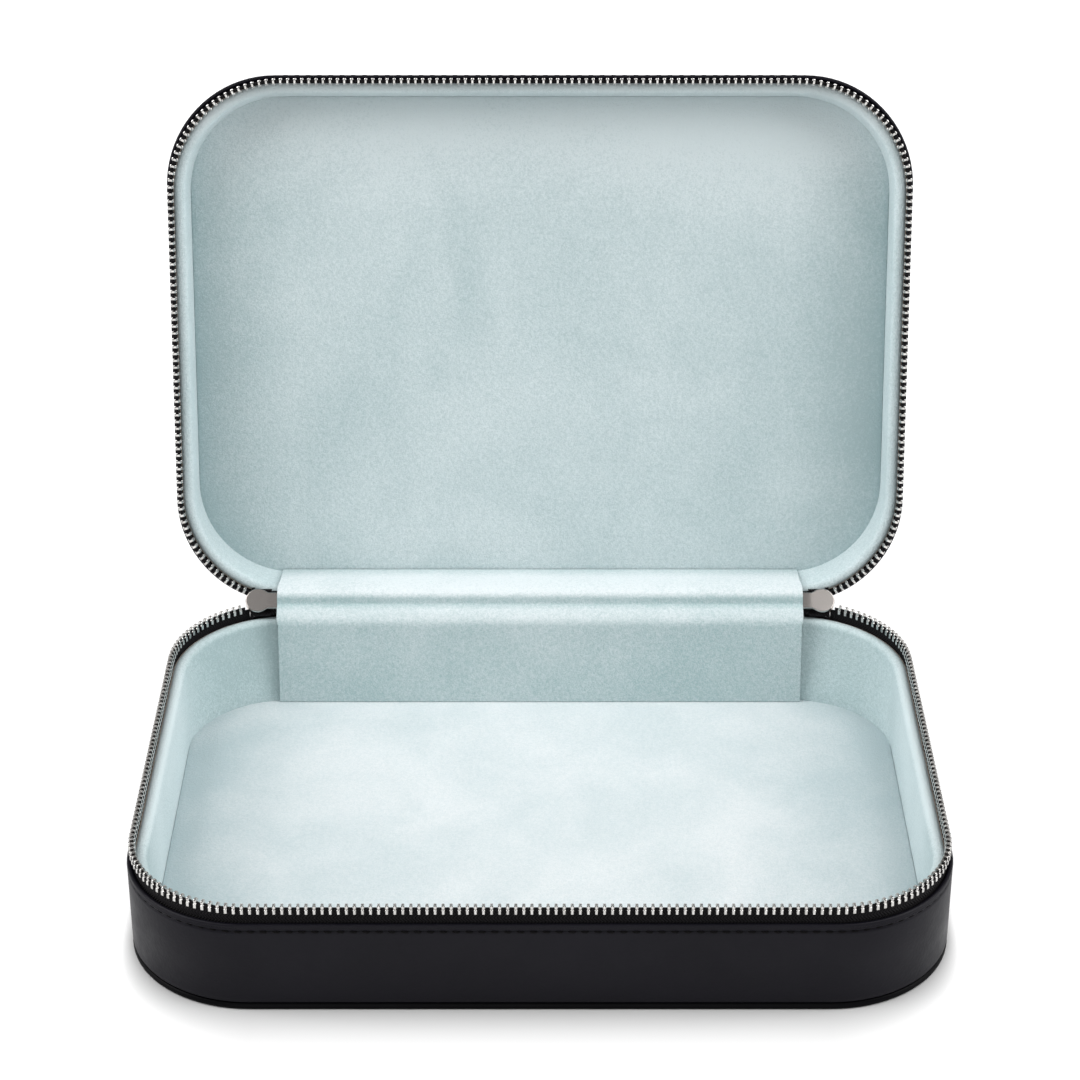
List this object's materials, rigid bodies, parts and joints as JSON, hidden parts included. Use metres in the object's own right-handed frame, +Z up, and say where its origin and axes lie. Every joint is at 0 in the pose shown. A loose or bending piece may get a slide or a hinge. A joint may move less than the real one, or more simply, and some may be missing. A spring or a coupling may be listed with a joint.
{
  "type": "zip-round jewellery case",
  "caption": "Rounded rectangular leather case with a hinged lid, zip-round metal teeth, two sliders and a padded velvet lining, standing open to hold jewellery.",
  "frame": {"origin": "middle of the base's underside, on the surface it rests on", "axes": "+X along the hinge and the case's width, +Y towards the hinge at the back, +Z up"},
  "size_m": [0.213, 0.2105, 0.1788],
  "materials": {
    "leather": "satin",
    "velvet": "matte",
    "tape": "matte",
    "metal": "polished",
    "board": "matte"
  },
  "bodies": {
    "base": {"base_bottom_panel": "leather", "base_board": "board", "base_leather_band": "leather", "base_zip_tape": "tape", "base_zip_teeth": "metal", "base_wall_lining": "velvet", "base_pad_card": "board", "base_floor_pad": "velvet", "hinge_spine": "leather", "hinge_flap": "velvet"},
    "lid": {"lid_top_panel": "leather", "lid_board": "board", "lid_leather_band": "leather", "lid_zip_tape": "tape", "lid_zip_teeth": "metal", "lid_wall_lining": "velvet", "lid_pad_card": "board", "lid_pad": "velvet"},
    "zip_end_left": {"zip_tape_end_left": "tape", "zip_chain_end_left": "metal", "zip_stop_left": "metal"},
    "slider_left": {"zip_slider_left": "metal"},
    "pull_left": {"pull_ring_left": "metal", "pull_tab_left": "metal"},
    "zip_end_right": {"zip_tape_end_right": "tape", "zip_chain_end_right": "metal", "zip_stop_right": "metal"},
    "slider_right": {"zip_slider_right": "metal"},
    "pull_right": {"pull_ring_right": "metal", "pull_tab_right": "metal"}
  },
  "joints": [
    {"name": "lid_hinge", "type": "hinge", "parent": "base", "child": "lid", "pos_m": [0, 0.076, 0.0305], "axis": [1, 0, 0], "range_deg": [0, 104], "deforming": ["hinge_spine", "hinge_flap"]},
    {"name": "zip_end_left_tilt", "type": "hinge", "parent": "base", "child": "zip_end_left", "pos_m": [0, 0.076, 0.0305], "axis": [1, 0, 0], "range_deg": [0, 52]},
    {"name": "slider_left_slide", "type": "slide", "parent": "zip_end_left", "child": "slider_left", "axis": [1, 0, 0], "range_m": [0, 0.004]},
    {"name": "pull_left_swing", "type": "hinge", "parent": "slider_left", "child": "pull_left", "pos_m": [-0.0815, 0.07917, 0.02644], "axis": [1, 0, 0], "range_deg": [0, 35]},
    {"name": "zip_end_right_tilt", "type": "hinge", "parent": "base", "child": "zip_end_right", "pos_m": [0, 0.076, 0.0305], "axis": [1, 0, 0], "range_deg": [0, 52]},
    {"name": "slider_right_slide", "type": "slide", "parent": "zip_end_right", "child": "slider_right", "axis": [-1, 0, 0], "range_m": [0, 0.004]},
    {"name": "pull_right_swing", "type": "hinge", "parent": "slider_right", "child": "pull_right", "pos_m": [0.0815, 0.07917, 0.02644], "axis": [1, 0, 0], "range_deg": [0, 35]}
  ],
  "couplings": [
    {"joint": "zip_end_left_tilt", "follows": "lid_hinge", "ratio": 0.5},
    {"joint": "zip_end_right_tilt", "follows": "lid_hinge", "ratio": 0.5}
  ]
}
